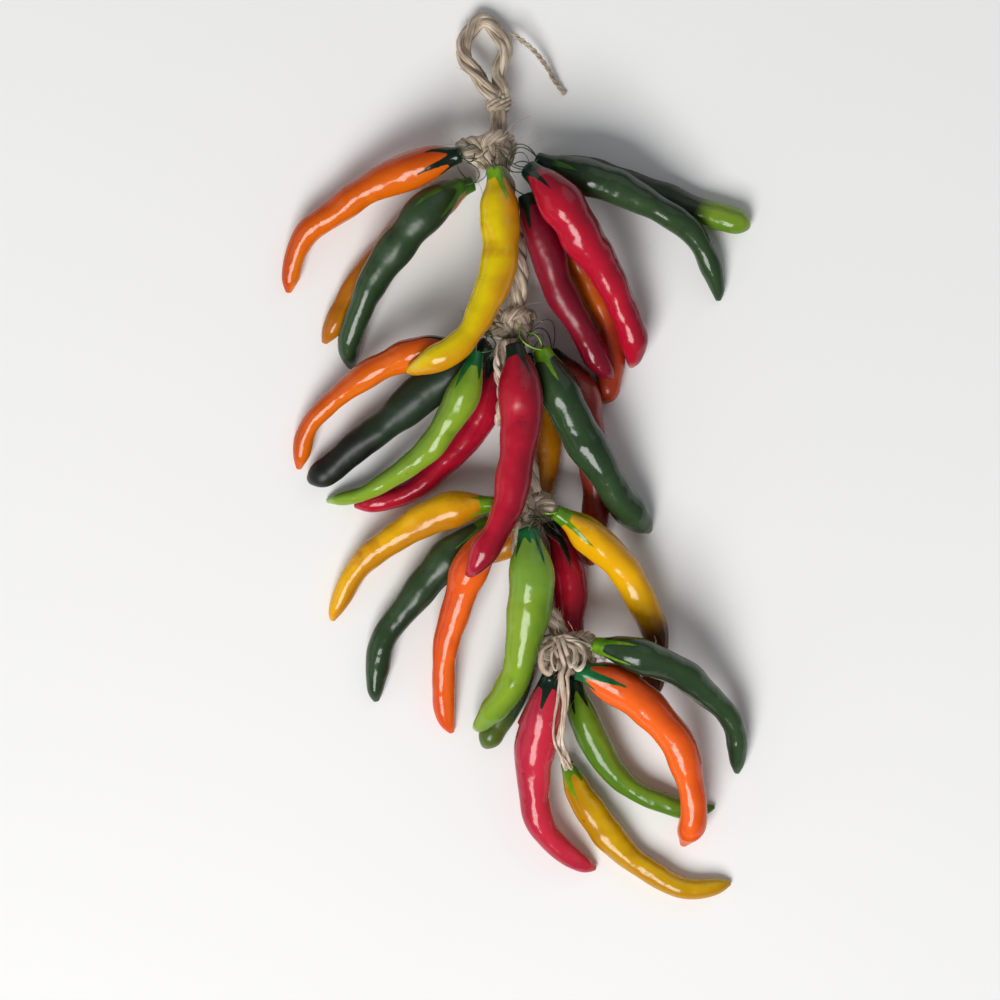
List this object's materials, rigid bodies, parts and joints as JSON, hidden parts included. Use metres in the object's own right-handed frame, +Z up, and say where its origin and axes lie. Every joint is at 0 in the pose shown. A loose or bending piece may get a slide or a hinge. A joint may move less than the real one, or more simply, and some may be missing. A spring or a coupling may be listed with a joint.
{
  "type": "string of ornamental ceramic chillies",
  "caption": "Glazed ceramic chillies tied in tiers to a twisted sisal rope, with a hanging loop at the top and a last chilli on a tail of twine.",
  "frame": {"origin": "on the table under the middle of the string's footprint, as it lies on its back", "axes": "+Y up the string towards the hanging loop, +X to the right of its shown side, +Z up off the table, out of the shown side"},
  "size_m": [0.2134, 0.4014, 0.0524],
  "materials": {
    "orange": "gloss",
    "gold": "gloss",
    "lemon": "gloss",
    "lime": "gloss",
    "green": "gloss",
    "red": "gloss",
    "rust": "gloss",
    "sisal": "matte",
    "wire": "satin"
  },
  "bodies": {
    "root": {"chilli_1i_lime": "lime", "chilli_1f_orange": "orange", "chilli_1b_gold": "gold", "chilli_2h_rust": "rust", "chilli_2f_gold": "gold", "chilli_2d_red": "red", "chilli_3e_green": "green", "chilli_3f_red": "red", "chilli_4b_lime": "lime", "chilli_5a_lemon": "lemon", "loop_binding": "sisal", "knot_1": "sisal", "knot_2": "sisal", "knot_3": "sisal", "knot_4": "sisal", "rope_neck": "sisal", "rope_1": "sisal", "rope_2": "sisal", "rope_3": "sisal", "hanging_loop": "sisal", "chilli_1e_red": "red", "chilli_1c_green": "green", "chilli_1a_orange": "orange", "chilli_1h_green": "green", "chilli_2b_green": "green", "chilli_2c_lime": "lime", "chilli_2a_orange": "orange", "chilli_3b_green": "green", "chilli_3c_orange": "orange", "chilli_3a_gold": "gold", "chilli_3g_gold": "gold", "chilli_4c_orange": "orange", "chilli_4a_red": "red", "rope_end_2": "sisal", "rope_end_3": "sisal", "chilli_1g_red": "red", "chilli_2g_green": "green", "chilli_1d_lemon": "lemon", "chilli_2e_red": "red", "chilli_3d_lime": "lime", "chilli_4d_green": "green", "loose_end": "sisal", "bow_left": "sisal", "bow_right": "sisal", "tail": "sisal", "wire_1a": "wire", "wire_1h": "wire", "wire_1d": "wire", "wire_2g": "wire", "wire_3g": "wire", "wire_2c": "wire", "wire_3d": "wire"}
  },
  "joints": []
}
